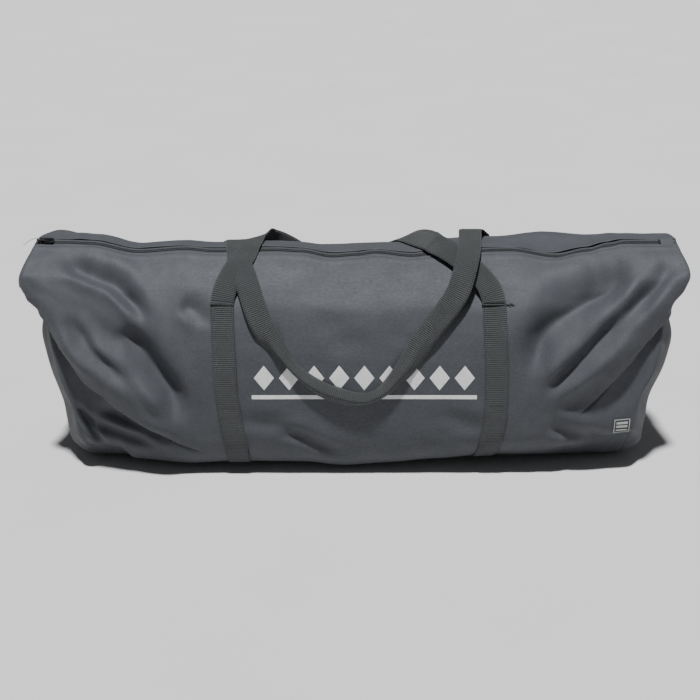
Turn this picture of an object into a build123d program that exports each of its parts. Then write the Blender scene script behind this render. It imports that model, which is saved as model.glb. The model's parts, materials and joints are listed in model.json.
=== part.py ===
from build123d import *

import os
from math import cos, radians, sin, tan

# Carry bag of a lawn game set, zipped shut, with the set packed inside it.
#
# Row frame, in millimetres: +X along the bag (the closed zip has its slider at -X), -Y is the printed
# front, +Z is up, and the origin is under the middle of the bag on the surface that it stands on.

# ---------------------------------------------------------------- driving dimensions
FABRIC = 1.6  # coated polyester, with its lining and folded edges
WEB_WIDTH = 38.0
WEB_THICK = 2.2
SEWN_GAP = 0.05  # between pieces that are sewn together face to face

# Half the bag's length, as (z, half length): the ends lean out up to the shoulder, and in above it
END_LINE = [(0.0, 470.0), (340.0, 545.0), (430.0, 506.0)]
BODY_BOTTOM = WEB_THICK + SEWN_GAP  # the webbing under the bag is what touches the floor

ZIP_Y, ZIP_Z, ZIP_TILT = -28.0, 375.0, 16.0  # the zip lies on the front slope of the top
ZIP_LEFT, ZIP_RIGHT = -520.0, 500.0  # ends of the coils
TAPE_REACH = 524.3  # half the length of the tapes, which end at the end panels
TAPE_HALF, TAPE_THICK = 17.0, 0.8
SLIT_HALF = 0.6  # half the slit between the two tapes and coils
COIL_WIDTH, COIL_HEIGHT = 3.3, 2.4
HEM_EDGE = 9.0  # from the zip's centre line to the folded edge of a panel

WEB_LEFT_X, WEB_RIGHT_X = -219.0, 222.0  # centres of the two girth webbings
STITCH_Z = 303.0  # the handles are sewn to the bag up to this height

# Cross-section of the bag's outside, in (y, z)
TILT_COS, TILT_SIN = cos(radians(ZIP_TILT)), sin(radians(ZIP_TILT))


def zip_point(across, up):
    """A point of the cross-section, from the zip's centre line: across its tape, and up from it."""
    return (
        ZIP_Y + across * TILT_COS - up * TILT_SIN,
        ZIP_Z + across * TILT_SIN + up * TILT_COS,
    )


FRONT_LINE = [
    zip_point(-HEM_EDGE, FABRIC),
    zip_point(-22, FABRIC),
    (-108, 318),
    (-148, 190),
    (-150, 70),
    (-139.5, 28),
]
BACK_LINE = [
    zip_point(HEM_EDGE, FABRIC),
    zip_point(22, FABRIC),
    (34, 375),
    (104, 330),
    (148, 190),
    (150, 70),
    (139.5, 28),
]
BOTTOM_LINE = [(-139, 26), (-114, BODY_BOTTOM), (114, BODY_BOTTOM), (139, 26)]
FRONT_RADII = [12, 45, 90, 40]
BACK_RADII = [10, 25, 50, 90, 40]
BOTTOM_RADII = [24, 24]


# ---------------------------------------------------------------- helpers
def save(shape, node):
    """Writes one named piece, or a group of identical ones."""
    export_step(shape, f"parts/{node}.step")


def corner_line(points, radii, close=False):
    """Straight runs with rounded corners. Each radius is cut down to what the two runs beside it allow."""
    points = [Vector(*p) for p in points]
    corners = range(len(points)) if close else range(1, len(points) - 1)
    fitted = []
    for corner, radius in zip(corners, radii):
        before = points[corner] - points[corner - 1]
        after = points[(corner + 1) % len(points)] - points[corner]
        room = 0.47 * min(before.length, after.length)
        turn = radians(before.get_angle(after)) / 2
        fitted.append(min(radius, room / tan(turn)) if turn > 1e-6 else 0)
    return FilletPolyline(*points, radius=fitted, close=close)


def along_x(face, x0, x1):
    """A (y, z) face swept from x0 to x1."""
    return Pos(x0, 0, 0) * extrude(Plane.YZ * face, amount=x1 - x0, dir=(1, 0, 0))


def along_y(face, y0, y1):
    """An (x, z) face swept from y0 to y1."""
    upright = Plane(origin=(0, y0, 0), x_dir=(1, 0, 0), z_dir=(0, -1, 0))
    return extrude(upright * face, amount=y1 - y0, dir=(0, 1, 0))


def strip_face(points, radii, thick, side):
    """A (y, z) strip of the given thickness, on one side of a line with rounded corners."""
    line = corner_line(points, radii).wire()
    return Face(line.offset_2d(thick, side=side, closed=True))


def whole_profile():
    """The closed outside cross-section of the bag."""
    points = [*FRONT_LINE[:-1], *BOTTOM_LINE, *reversed(BACK_LINE[:-1])]
    radii = [0, *FRONT_RADII, 0, *BOTTOM_RADII, 0, *reversed(BACK_RADII), 0]
    return make_face(corner_line(points, radii, close=True).edges())


def end_block(inset):
    """Everything between the two leaning ends, moved in by inset."""
    right = [(half - inset, z) for z, half in END_LINE]
    left = [(-x, z) for x, z in reversed(right)]
    return along_y(Polygon(*right, *left, align=None), -200, 200)


def on_zip(shape):
    """Places a piece drawn about the zip's own line: X along it, Y across the tape, Z off the tape."""
    return Location((0, ZIP_Y, ZIP_Z), (ZIP_TILT, 0, 0)) * shape


def block(x0, x1, y0, y1, z0, z1):
    """A box from its lowest and highest corners."""
    return Pos(x0, y0, z0) * Box(
        x1 - x0, y1 - y0, z1 - z0, align=(Align.MIN, Align.MIN, Align.MIN)
    )


# ---------------------------------------------------------------- bag shell
def shell():
    """The three wrap panels and the two end panels."""
    wrap = end_block(FABRIC)
    for node, points, radii, side in (
        ("front_panel", FRONT_LINE, FRONT_RADII, Side.LEFT),
        ("back_panel", BACK_LINE, BACK_RADII, Side.RIGHT),
        ("bottom_panel", BOTTOM_LINE, BOTTOM_RADII, Side.LEFT),
    ):
        face = strip_face(points, radii, FABRIC, side)
        save(along_x(face, -600, 600) & wrap, node)
    plugs = (along_x(whole_profile(), -600, 600) & end_block(0)) - wrap
    ends = plugs.solids().sort_by(Axis.X)
    save(ends[0], "left_end_panel")
    save(ends[-1], "right_end_panel")


def seam_tapes():
    """Binding tape on the raw edges inside each end seam."""
    tape_width, tape_thick = 10.0, 1.0
    outside = offset(whole_profile(), -(FABRIC + 0.3))
    inside = offset(whole_profile(), -(FABRIC + 0.3 + tape_thick))
    # Under the zip's tapes and the slider's path the binding is left open.
    clear_of_zip = on_zip(block(-600, 600, -TAPE_HALF - 2, TAPE_HALF + 2, -12, 20))
    ring = along_x(outside - inside, -600, 600) - clear_of_zip
    band = end_block(FABRIC + SEWN_GAP) - end_block(FABRIC + SEWN_GAP + tape_width)
    tapes = (ring & band).solids().sort_by(Axis.X)
    save(tapes[0], "left_seam_tape")
    save(tapes[-1], "right_seam_tape")


# ---------------------------------------------------------------- zip
def zipper():
    """Two tapes, two coils, two stops and the tab over the end where the zip opens last."""
    for node, turn in (("zip_tape_front", -1), ("zip_tape_back", 1)):
        y0, y1 = sorted((turn * SLIT_HALF, turn * TAPE_HALF))
        tape = block(-TAPE_REACH, TAPE_REACH, y0, y1, -TAPE_THICK - SEWN_GAP, -SEWN_GAP)
        save(on_zip(tape), node)
    for node, turn in (("zip_coil_front", -1), ("zip_coil_back", 1)):
        centre = turn * (SLIT_HALF + COIL_WIDTH / 2)
        section = Pos(centre, COIL_HEIGHT / 2) * RectangleRounded(COIL_WIDTH, COIL_HEIGHT, 1.0)
        save(on_zip(along_x(section, ZIP_LEFT, ZIP_RIGHT)), node)
    stop_long, stop_half = 3.0, 4.2
    for node, x in (("zip_stop_left", ZIP_LEFT - stop_long - 0.2), ("zip_stop_right", ZIP_RIGHT + 0.2)):
        stop = block(x, x + stop_long, -stop_half, stop_half, 0, 3.0)
        save(on_zip(fillet(stop.edges().filter_by(Axis.X).group_by(Axis.Z)[-1], 1.2)), node)
    tab_half, tab_thick = HEM_EDGE - 0.3, 1.2
    tab = block(ZIP_RIGHT + stop_long + 1, TAPE_REACH, -tab_half, tab_half, 0, tab_thick)
    save(on_zip(tab), "zip_end_tab")


# The slider closes the zip by running to -X, and its pull turns on a bail over its top wing.
SLIDER_X = ZIP_LEFT + 9.5
WING_HALF, WING_LONG, WING_THICK = 6.6, 16.0, 1.8
WING_UP = COIL_HEIGHT + 0.5  # underside of the top wing
BAIL_HALF, BAIL_REACH = 1.6, 6.0
PIVOT_UP = 6.1
PIN_RADIUS = 0.8
PULL_HALF, PULL_THICK, PULL_LONG = 4.5, 1.4, 20.0
PULL_HOLE_X = SLIDER_X - PULL_LONG + 4.0


def slider():
    """Top and bottom wings joined by the divider in the slit, with the bail that holds the pull."""
    x0, x1 = SLIDER_X - WING_LONG / 2, SLIDER_X + WING_LONG / 2
    under = TAPE_THICK + 0.3
    top_wing = block(x0, x1, -WING_HALF, WING_HALF, WING_UP, WING_UP + WING_THICK)
    top_wing = fillet(top_wing.edges().filter_by(Axis.Z), 3.0)
    low_wing = block(x0, x1, -WING_HALF, WING_HALF, -under - 1.5, -under)
    low_wing = fillet(low_wing.edges().filter_by(Axis.Z), 3.0)
    lip_inner = SLIT_HALF + COIL_WIDTH + 0.4
    lips = [
        block(x0 + 3, x1 - 3, side * lip_inner, side * WING_HALF, 0.4, WING_UP)
        if side > 0
        else block(x0 + 3, x1 - 3, -WING_HALF, -lip_inner, 0.4, WING_UP)
        for side in (-1, 1)
    ]
    divider = block(x0 + 1, x0 + 6, -0.35, 0.35, -under, WING_UP)
    bail_top = PIVOT_UP + 2.4
    wing_top = WING_UP + WING_THICK
    bail = block(
        SLIDER_X - BAIL_REACH, SLIDER_X + BAIL_REACH, -BAIL_HALF, BAIL_HALF, wing_top, bail_top
    )
    bail = fillet(bail.edges().filter_by(Axis.Y).group_by(Axis.Z)[-1], 2.0)
    eye = block(SLIDER_X - 4.2, SLIDER_X + 4.2, -9, 9, wing_top, PIVOT_UP + 1.3)
    save(on_zip(top_wing + low_wing + lips[0] + lips[1] + divider + (bail - eye)), "zip_slider")


def pull():
    """The pull tab: a bar under the bail, two arms beside it and a plate with a hole at its end."""
    bar = Pos(SLIDER_X, 0, PIVOT_UP) * Rot(90, 0, 0) * Cylinder(PIN_RADIUS, 2 * PULL_HALF)
    arm_long = BAIL_REACH + 1.4
    low, high = PIVOT_UP - PULL_THICK / 2, PIVOT_UP + PULL_THICK / 2
    arms = [
        block(SLIDER_X - arm_long, SLIDER_X, y0, y1, low, high)
        for y0, y1 in ((-PULL_HALF, -BAIL_HALF - 0.4), (BAIL_HALF + 0.4, PULL_HALF))
    ]
    plate = block(
        SLIDER_X - PULL_LONG, SLIDER_X - arm_long + 0.5, -PULL_HALF, PULL_HALF, low, high
    )
    plate = fillet(plate.edges().filter_by(Axis.Z).group_by(Axis.X)[0], 3.0)
    hole = Pos(PULL_HOLE_X, 0, PIVOT_UP) * Cylinder(1.6, 6)
    save(on_zip(bar + arms[0] + arms[1] + plate - hole), "pull_tab")


# A short light cord hangs in the pull's hole and sticks out past the end of the bag. Its route is drawn
# about the zip's line, like the slider's parts.
CORD_DIAMETER = 2.0
CORD_ROUTE = [
    (PULL_HOLE_X, 0.0, PIVOT_UP - 3.0),
    (PULL_HOLE_X, -0.3, PIVOT_UP + 4.0),
    (-536.0, -6.0, PIVOT_UP + 5.5),
    (-543.0, -13.0, PIVOT_UP + 4.5),
    (-549.0, -20.0, PIVOT_UP + 2.0),
]


def pull_cord():
    """The cord's tube: straight runs joined by arcs as large as the runs allow."""
    line = corner_line(CORD_ROUTE, [1000] * (len(CORD_ROUTE) - 2))
    section = Plane(origin=line @ 0, z_dir=line % 0) * Circle(CORD_DIAMETER / 2)
    save(on_zip(sweep(section, path=line)), "pull_cord")


# ---------------------------------------------------------------- webbing and handles
def girth_webbings():
    """The two webbings sewn round the bag, from the front stitches under the bag to the back ones."""
    inside = offset(whole_profile(), SEWN_GAP)
    ring = offset(whole_profile(), SEWN_GAP + WEB_THICK) - inside
    below_stitches = block(-600, 600, -200, 200, -1, STITCH_Z)
    for node, x in (("girth_webbing_left", WEB_LEFT_X), ("girth_webbing_right", WEB_RIGHT_X)):
        band = along_x(ring, x - WEB_WIDTH / 2, x + WEB_WIDTH / 2)
        save(band & below_stitches, node)


# Each handle rises from its stitches, lies over the top and hangs down the other side of the bag.
# The part that hangs turns about a line along the edge of the top.
BACK_HINGE = (-88.0, 368.0)  # (y, z) of the line where the back handle bends down the front
FRONT_HINGE = (72.0, 388.0)  # the same for the front handle, down the back
HINGE_GAP = 1.6
RISER_GAP = 4.2  # from the back hinge to its risers' ends, which the loop's bent edge turns past
# (y, z) lines that the strap's inner face follows
FRONT_RISER_LINE = [
    (-115.0, STITCH_Z + 0.2),
    (-111.5, 322),
    (-66, 372),
    (-42, 385.5),
    (30, 389.5),
    (FRONT_HINGE[0] - HINGE_GAP, FRONT_HINGE[1] - WEB_THICK / 2),
]
BACK_RISER_LINE = [
    (116.2, STITCH_Z + 0.2),
    (109.5, 330),
    (74, 374),
    (44, 387.0),
    (-46, 387.5),
    (BACK_HINGE[0] + RISER_GAP, BACK_HINGE[1] + RISER_GAP * 0.48),
]
FRONT_LOOP_LINE = [
    (FRONT_HINGE[0] + HINGE_GAP, FRONT_HINGE[1] - 1.5),
    (118, 334),
    (162, 200),
    (178, 96),
]
BACK_LOOP_LINE = [
    (BACK_HINGE[0] - HINGE_GAP * 0.7, BACK_HINGE[1] - HINGE_GAP),
    (-124, 318),
    (-160, 205),
    (-180, 128),
]
# Centre lines of the hanging loops, in (x, z), as seen from the front
BACK_LOOP_PATH = [
    (-197, 420),
    (-186, 330),
    (-150, 245),
    (-92, 180),
    (-6, 148),
    (52, 172),
    (104, 252),
    (156, 330),
    (175, 420),
]
BACK_LOOP_RADII = [120, 120, 90, 60, 45, 110, 120]
FRONT_LOOP_PATH = [
    (-152, 420),
    (-142, 330),
    (-108, 235),
    (-60, 150),
    (-20, 116),
    (24, 146),
    (72, 235),
    (110, 330),
    (122, 420),
]
FRONT_LOOP_RADII = [120, 120, 60, 36, 60, 120, 120]
TOP_X = {"front": (-152, 122), "back": (-197, 175)}  # where each handle crosses the top


def riser(node, foot_x, top_x, line, side):
    """The strap from the stitches up to the top of the bag and across it."""
    half = WEB_WIDTH / 2
    face = strip_face(line, [8] * (len(line) - 2), WEB_THICK, side)
    outline = Polygon(
        (foot_x - half, STITCH_Z),
        (foot_x + half, STITCH_Z),
        (top_x + half, 372),
        (top_x + half, 410),
        (top_x - half, 410),
        (top_x - half, 372),
        align=None,
    )
    save(along_x(face, -300, 300) & along_y(outline, -200, 200), node)


def loop(node, path, radii, line, side):
    """The hanging part of a handle: one strap bent down, across and up again."""
    centre = corner_line(path, radii).wire()
    outline = Face(centre.offset_2d(WEB_WIDTH / 2, side=Side.BOTH))
    face = strip_face(line, [14] * (len(line) - 2), WEB_THICK, side)
    save(along_x(face, -300, 300) & along_y(outline, -200, 200), node)


def handles():
    """Both handles, each as two risers and a loop."""
    for node, k, foot in (("left", 0, WEB_LEFT_X), ("right", 1, WEB_RIGHT_X)):
        riser(f"front_handle_riser_{node}", foot, TOP_X["front"][k], FRONT_RISER_LINE, Side.LEFT)
        riser(f"back_handle_riser_{node}", foot, TOP_X["back"][k], BACK_RISER_LINE, Side.RIGHT)
    loop("front_handle_loop", FRONT_LOOP_PATH, FRONT_LOOP_RADII, FRONT_LOOP_LINE, Side.LEFT)
    loop("back_handle_loop", BACK_LOOP_PATH, BACK_LOOP_RADII, BACK_LOOP_LINE, Side.RIGHT)


def bartacks():
    """Dense bars of thread across each webbing where its handle is sewn down."""
    bar_deep, bar_tall = 1.0, 2.4
    reach = SEWN_GAP * 2 + WEB_THICK
    skin = offset(whole_profile(), reach + bar_deep) - offset(whole_profile(), reach)
    for node, y0, y1 in (("front_bartacks", -200, 0), ("back_bartacks", 0, 200)):
        bars = []
        for x in (WEB_LEFT_X, WEB_RIGHT_X):
            z = STITCH_Z - 3 - bar_tall
            cut = block(x - 17, x + 17, y0, y1, z, z + bar_tall)
            bars += (along_x(skin, x - 17, x + 17) & cut).solids()
        save(Compound(children=bars), node)


# ---------------------------------------------------------------- print and label
def surface_patch(outline, thick):
    """A thin layer on the bag's front, as large as an (x, z) outline."""
    skin = offset(whole_profile(), SEWN_GAP + thick) - offset(whole_profile(), SEWN_GAP)
    return along_x(skin, -520, 520) & along_y(outline, -200, -60)


PRINT_CENTRE_X, PRINT_Z = 12.0, 182.0
DIAMOND_WIDE, DIAMOND_TALL, DIAMOND_PITCH, DIAMONDS = 33.0, 42.0, 41.0, 9
INK = 0.35


def front_print():
    """A generic net motif in white ink: a row of diamonds over a line."""
    pieces = []
    for i in range(DIAMONDS):
        x = PRINT_CENTRE_X + (i - (DIAMONDS - 1) / 2) * DIAMOND_PITCH
        half_wide, half_tall = DIAMOND_WIDE / 2, DIAMOND_TALL / 2
        diamond = Polygon(
            (x - half_wide, PRINT_Z),
            (x, PRINT_Z - half_tall),
            (x + half_wide, PRINT_Z),
            (x, PRINT_Z + half_tall),
            align=None,
        )
        pieces += surface_patch(diamond, INK).solids()
    bar_z = PRINT_Z - DIAMOND_TALL / 2 - 12
    bar = Pos(PRINT_CENTRE_X, bar_z) * Rectangle(DIAMONDS * DIAMOND_PITCH, 7)
    pieces += surface_patch(bar, INK).solids()
    save(Compound(children=pieces), "front_print")


def corner_label():
    """The small woven patch low on the front, near the right end."""
    size = 29.0
    save(surface_patch(Pos(441, 88) * Rectangle(size, size), 0.9), "corner_label")


# ---------------------------------------------------------------- what is packed inside
POLE_LONG, POLE_RADIUS, POLE_WALL = 790.0, 12.5, 1.2
POLE_PITCH, POLES_PER_ROW, POLE_ROWS = 27.0, 4, 2
POLE_FIRST_Y, POLE_FIRST_Z = -24.0, 18.5
CAP_LONG = 12.0
ROLL_RADIUS, ROLL_LONG, ROLL_Y = 60.0, 780.0, 20.0
ROLL_Z = POLE_FIRST_Z + POLE_PITCH * (POLE_ROWS - 1) + POLE_RADIUS + 4 + ROLL_RADIUS
BALL_RADIUS, BALL_WALL, BALL_Y, BALL_Z = 48.0, 2.5, -90.0, 104.0


def pole_places():
    """(y, z) of the poles, which lie in flat rows."""
    return [
        (POLE_FIRST_Y + POLE_PITCH * i, POLE_FIRST_Z + POLE_PITCH * row)
        for row in range(POLE_ROWS)
        for i in range(POLES_PER_ROW)
    ]


def frame_poles():
    """Tube poles of the game's frame, each with a foot cap at one end and a joining spigot at the other."""
    caps, spigots = [], []
    for number, (y, z) in enumerate(pole_places(), 1):
        tube = Circle(POLE_RADIUS) - Circle(POLE_RADIUS - POLE_WALL)
        save(along_x(Pos(y, z) * tube, -POLE_LONG / 2, POLE_LONG / 2), f"frame_pole_{number}")
        cap = along_x(Pos(y, z) * Circle(POLE_RADIUS), -POLE_LONG / 2 - CAP_LONG, -POLE_LONG / 2)
        caps.append(cap)
        inner = POLE_RADIUS - POLE_WALL - 0.2
        spigots.append(
            along_x(Pos(y, z) * Circle(inner), POLE_LONG / 2 - 25, POLE_LONG / 2 + 14)
        )
    save(Compound(children=caps), "pole_foot_caps")
    save(Compound(children=spigots), "pole_spigots")


def net_and_ties():
    """The rolled net and the hook-and-loop ties round it and round the poles."""
    save(along_x(Pos(ROLL_Y, ROLL_Z) * Circle(ROLL_RADIUS), -ROLL_LONG / 2, ROLL_LONG / 2), "net_roll")
    tie_wide, tie_thick = 25.0, 1.5
    around_roll = Pos(ROLL_Y, ROLL_Z) * (
        Circle(ROLL_RADIUS + 0.2 + tie_thick) - Circle(ROLL_RADIUS + 0.2)
    )
    middle_y = POLE_FIRST_Y + POLE_PITCH * (POLES_PER_ROW - 1) / 2
    middle_z = POLE_FIRST_Z + POLE_PITCH * (POLE_ROWS - 1) / 2
    wide = POLE_PITCH * (POLES_PER_ROW - 1) + 2 * POLE_RADIUS + 0.4
    tall = POLE_PITCH * (POLE_ROWS - 1) + 2 * POLE_RADIUS + 0.4
    around_poles = Pos(middle_y, middle_z) * (
        RectangleRounded(wide + 2 * tie_thick, tall + 2 * tie_thick, POLE_RADIUS + 1)
        - RectangleRounded(wide, tall, POLE_RADIUS)
    )
    for side, x in (("left", -260.0), ("right", 260.0)):
        save(along_x(around_roll, x - tie_wide / 2, x + tie_wide / 2), f"net_tie_{side}")
        save(along_x(around_poles, x - tie_wide / 2, x + tie_wide / 2), f"pole_tie_{side}")


def balls():
    """Two playing balls, wedged between the rolled net and the front of the bag."""
    for number, x in ((1, -170.0), (2, 205.0)):
        wall = Sphere(BALL_RADIUS) - Sphere(BALL_RADIUS - BALL_WALL)
        save(Pos(x, BALL_Y, BALL_Z) * wall, f"game_ball_{number}")


os.makedirs("parts", exist_ok=True)
shell()
seam_tapes()
zipper()
slider()
pull()
pull_cord()
girth_webbings()
handles()
bartacks()
front_print()
corner_label()
frame_poles()
net_and_ties()
balls()
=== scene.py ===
"""The carry bag as it lies in soft light: sagging cloth, webbing handles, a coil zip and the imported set.

Shapes are worked out in millimetres, in the row frame (+X along the bag, -Y out of the printed front, +Z up),
and turned into metres when a mesh is made.
"""

import json
from math import cos, pi, radians, sin

import bpy
import numpy as np
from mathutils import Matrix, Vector, noise
from mathutils.bvhtree import BVHTree


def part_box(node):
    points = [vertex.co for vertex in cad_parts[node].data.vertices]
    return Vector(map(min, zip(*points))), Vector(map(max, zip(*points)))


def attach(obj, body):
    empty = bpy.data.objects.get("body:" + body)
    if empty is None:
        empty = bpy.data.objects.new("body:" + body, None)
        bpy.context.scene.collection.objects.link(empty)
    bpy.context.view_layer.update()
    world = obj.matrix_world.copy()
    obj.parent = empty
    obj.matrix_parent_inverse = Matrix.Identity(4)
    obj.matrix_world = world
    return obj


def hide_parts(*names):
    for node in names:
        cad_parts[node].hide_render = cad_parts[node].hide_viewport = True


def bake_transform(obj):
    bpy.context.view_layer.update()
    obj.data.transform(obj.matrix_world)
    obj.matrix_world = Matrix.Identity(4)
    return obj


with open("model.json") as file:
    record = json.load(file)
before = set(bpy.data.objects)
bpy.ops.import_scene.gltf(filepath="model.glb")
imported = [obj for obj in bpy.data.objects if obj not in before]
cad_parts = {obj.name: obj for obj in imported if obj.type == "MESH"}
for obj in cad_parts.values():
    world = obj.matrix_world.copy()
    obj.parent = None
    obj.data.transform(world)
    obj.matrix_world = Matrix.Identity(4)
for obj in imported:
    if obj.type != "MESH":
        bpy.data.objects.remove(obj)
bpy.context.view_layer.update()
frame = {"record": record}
MM = 0.001

# ---------------------------------------------------------------- measures shared with the CAD
ZIP_Y, ZIP_Z, ZIP_TILT = -28.0, 375.0, radians(16.0)
ZIP_LEFT, ZIP_RIGHT = -520.0, 500.0
HEM_EDGE = 9.0  # from the zip's centre line to the folded edge of each panel
WEB_WIDTH, WEB_THICK = 38.0, 2.2
STITCH_Z = 303.0  # where each webbing stops and its handle is sewn on
TILT_COS, TILT_SIN = cos(ZIP_TILT), sin(ZIP_TILT)

# ---------------------------------------------------------------- the bag's form
# Height of the zip along the bag. It is level where the slider stops at either end, and waves between.
ZIP_LINE = [(-545, 375), (-480, 375), (-444, 373.5), (-363, 359), (-285, 364), (-238, 360), (-133, 362),
            (-95, 360), (-40, 351), (0, 354), (31, 358), (91, 352), (141, 358), (254, 362), (332, 351),
            (385, 361), (420, 370), (446, 375), (545, 375)]
# Height of the back edge of the top
BACK_EDGE = [(-545, 362), (-474, 351), (-407, 333), (-302, 326), (-227, 332), (-60, 336), (60, 340),
             (214, 350), (330, 358), (414, 354), (494, 356), (545, 350)]
# How far the front's lower edge is off the ground
LIFT = [(-545, 30), (-458, 27), (-424, 11), (-285, 5), (-210, 9), (-90, 8), (-23, 0), (50, 6), (130, 14),
        (240, 27), (330, 30), (410, 38), (461, 50), (545, 55)]
# The end seams as (height, x)
LEFT_SEAM = [(0, -457), (57, -464), (119, -472), (168, -489), (236, -504), (290, -510), (308, -532),
             (322, -553), (334, -550), (378, -534)]
RIGHT_SEAM = [(0, 448), (40, 457), (111, 464), (140, 468), (179, 488), (217, 498), (285, 504), (299, 510),
              (312, 526), (330, 542), (346, 542), (378, 532)]
END_BULGE = 34.0  # how far the middle of each end panel stands out past its seam

# Folds in the front: line in (x, z), depth, and width above and below it. A negative depth is a ridge.
FOLDS = [
    ([(-492, 362), (-460, 350), (-426, 338), (-400, 328), (-379, 311), (-360, 294), (-330, 258)], 13, 13, 8),
    ([(-420, 366), (-430, 352), (-440, 340)], 3.5, 8, 5),
    ([(-398, 258), (-363, 234), (-337, 199), (-311, 157), (-298, 125), (-288, 100)], 14, 22, 11),
    ([(-476, 283), (-436, 236), (-400, 199), (-358, 174)], 6, 9, 8),
    ([(-447, 254), (-402, 213), (-363, 177), (-324, 146), (-292, 120)], -9, 13, 13),
    ([(-486, 272), (-455, 222), (-415, 191), (-368, 154), (-330, 122)], -7, 11, 11),
    ([(-288, 300), (-262, 283), (-243, 262)], 8, 17, 8),
    ([(-440, 112), (-405, 106), (-374, 92), (-337, 78), (-290, 60)], 9, 10, 7),
    ([(-457, 115), (-436, 89), (-389, 69), (-330, 53)], 8, 9, 7),
    ([(-467, 122), (-448, 84), (-426, 40)], 11, 6, 5),
    ([(525, 352), (502, 340), (484, 319), (461, 298), (437, 280), (410, 264)], 8, 11, 8),
    ([(516, 326), (489, 299), (463, 279), (432, 250), (400, 218), (369, 185), (332, 154), (288, 122)],
     -9, 15, 15),
    ([(468, 342), (453, 321), (432, 292), (400, 273), (364, 238), (332, 206), (306, 173), (291, 134)],
     -9, 14, 14),
    ([(437, 282), (400, 246), (364, 212), (330, 178), (304, 148)], 4.5, 11, 10),
    ([(453, 361), (429, 338), (400, 317), (369, 299), (332, 272), (306, 245), (291, 212), (281, 170)],
     16, 26, 13),
    ([(315, 96), (360, 74), (420, 66)], 7, 14, 9),
    ([(-130, 84), (-92, 72), (-56, 52), (-24, 34)], 8, 12, 6),
    ([(-60, 290), (-36, 255), (-20, 215)], 3, 26, 18),
    ([(96, 300), (80, 262), (70, 226)], 3, 26, 18),
    ([(140, 120), (180, 96), (216, 84)], 4, 16, 9),
    ([(-190, 110), (-150, 96), (-110, 98)], 4, 16, 9),
]
FOLD_DEPTH = 1.5  # of the depths above
# Creases where the cloth above hangs over the cloth below, outer end first: line, how far the roll above
# stands out, how deep the cleft under it is, how far the roll laps over it, and 1 or -1 for the side of the
# line that is above it
CREASES = [
    ([(-530, 309), (-514, 294), (-490, 258), (-462, 218), (-442, 179), (-410, 154), (-389, 134), (-350, 106),
      (-311, 75), (-277, 54), (-250, 44)], 19, 40, 12, 1),
    ([(530, 313), (516, 299), (508, 284), (482, 258), (463, 237), (432, 199), (406, 163), (385, 134),
      (366, 112)], 16, 34, 10, -1),
]
ROLL_WIDTH = 16  # from a crease's line to the top of the roll above it
HOLLOW_NEAR, HOLLOW_FAR = 12, 120  # how soon the hollow below it deepens, and how far down it fades
SAG_SIZE, RIPPLE_SIZE = 2.6, 0.5  # the large and the small unevenness of the cloth

# ---------------------------------------------------------------- how the cloth settles
SIM_FRAMES = 30
SLACK = 0.28  # the share of the gathered ends' own length that the cloth may take up as it settles
LOOSENESS = 0.62  # how much less the cloth at the ends is held to its folded form than the rest
ENDS_FROM = 200.0  # the cloth grows loose from this far along either way from the middle
SEAM_SHARE = 0.7  # how much of the folds runs on into the end seams
CLOTH_THICK = 1.3


def along(table, x):
    """Smooth value at x of a table of (x, value)."""
    xs = [p[0] for p in table]
    x = min(max(x, xs[0]), xs[-1])
    k = max(i for i in range(len(xs) - 1) if xs[i] <= x)
    t = (x - xs[k]) / (xs[k + 1] - xs[k])
    return table[k][1] + (table[k + 1][1] - table[k][1]) * t * t * (3 - 2 * t)


def ease(t):
    """0 to 1 with soft ends."""
    t = np.clip(t, 0, 1)
    return t * t * (3 - 2 * t)


def run_lengths(points):
    """How far along a row of points each one is."""
    return np.concatenate([[0], np.cumsum(np.linalg.norm(np.diff(points, axis=0), axis=1))])


def even_out(rows):
    """Draws each of a row of points, but the first and last, towards its neighbours."""
    rows[1:-1] = (rows[:-2] + 2 * rows[1:-1] + rows[2:]) / 4


def unit(vectors):
    """Each vector of an array at unit length."""
    return vectors / np.linalg.norm(vectors, axis=-1, keepdims=True)


def smooth_path(points, count):
    """Points spaced evenly along a Catmull-Rom curve through the given ones."""
    pts = [np.array(p, float) for p in points]
    pts = [2 * pts[0] - pts[1]] + pts + [2 * pts[-1] - pts[-2]]
    dense = []
    for a, b, c, d in zip(pts, pts[1:], pts[2:], pts[3:]):
        for t in np.linspace(0, 1, 24, endpoint=False):
            dense.append(0.5 * ((2 * b) + (c - a) * t + (2 * a - 5 * b + 4 * c - d) * t**2
                                + (3 * b - a - 3 * c + d) * t**3))
    dense.append(pts[-2])
    dense = np.array(dense)
    lengths = run_lengths(dense[:, :3])
    wanted = np.linspace(0, lengths[-1], count)
    return np.stack([np.interp(wanted, lengths, dense[:, i]) for i in range(dense.shape[1])], axis=1)


def zip_point(x, across, up):
    """A point of the zip at x: across its tape and up from it."""
    y = ZIP_Y + across * TILT_COS - up * TILT_SIN
    return x, y, along(ZIP_LINE, x) + across * TILT_SIN + up * TILT_COS


# Samples round the bag: top front, each side, top back, and across the bottom
TOP_FRONT, SIDE, TOP_BACK = 8, 34, 14
BOTTOM = TOP_FRONT + TOP_BACK + 2
RING = TOP_FRONT + 2 * SIDE + BOTTOM + TOP_BACK + 1
FULL_HALF = 545.0  # half the length of the cloth when it lies flat
HEM_UP = 1.8  # the hems lie on the zip's tapes
HEM_TUCK, HEM_STITCH = 15, 4.5  # how wide the part folded under is, and how far in from the edge it is sewn


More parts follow.
